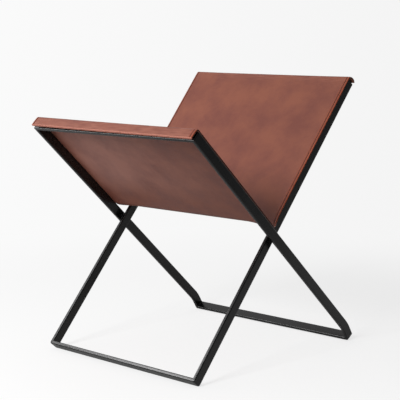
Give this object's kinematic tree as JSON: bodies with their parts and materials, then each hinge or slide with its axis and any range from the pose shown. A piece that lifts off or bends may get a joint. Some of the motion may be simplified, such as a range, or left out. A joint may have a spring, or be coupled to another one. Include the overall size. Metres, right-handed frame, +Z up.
{
  "type": "magazine rack",
  "caption": "Folding magazine rack: two crossed flat-bar steel frames on flush pivots, with a thick leather sling hung between their top bars as a V-shaped trough.",
  "frame": {"origin": "on the floor, at the bottom centre of the whole rack's box", "axes": "+Z up; +X across the V, from the front (the outer frame's top) to the back (the inner frame's top); Y along the bars"},
  "size_m": [0.3836, 0.3236, 0.413],
  "materials": {
    "black_paint": "satin",
    "pivot_steel": "satin",
    "saddle_leather": "matte"
  },
  "bodies": {
    "outer_frame": {"outer_leg_right": "black_paint", "outer_leg_left": "black_paint", "outer_top_bar": "black_paint", "outer_bottom_bar": "black_paint", "pivot_pin_right": "pivot_steel", "pivot_pin_left": "pivot_steel", "spacer_bush_right": "pivot_steel", "spacer_bush_left": "pivot_steel", "sling_front": "saddle_leather", "sling_fold": "saddle_leather"},
    "inner_frame": {"inner_leg_right": "black_paint", "inner_leg_left": "black_paint", "inner_top_bar": "black_paint", "inner_bottom_bar": "black_paint", "sling_back": "saddle_leather"}
  },
  "joints": [
    {"name": "fold", "type": "hinge", "parent": "outer_frame", "child": "inner_frame", "pos_m": [-0.01006, 0, 0.1855], "axis": [0, -1, 0], "range_deg": [0, 52], "deforming": ["sling_fold"]}
  ]
}
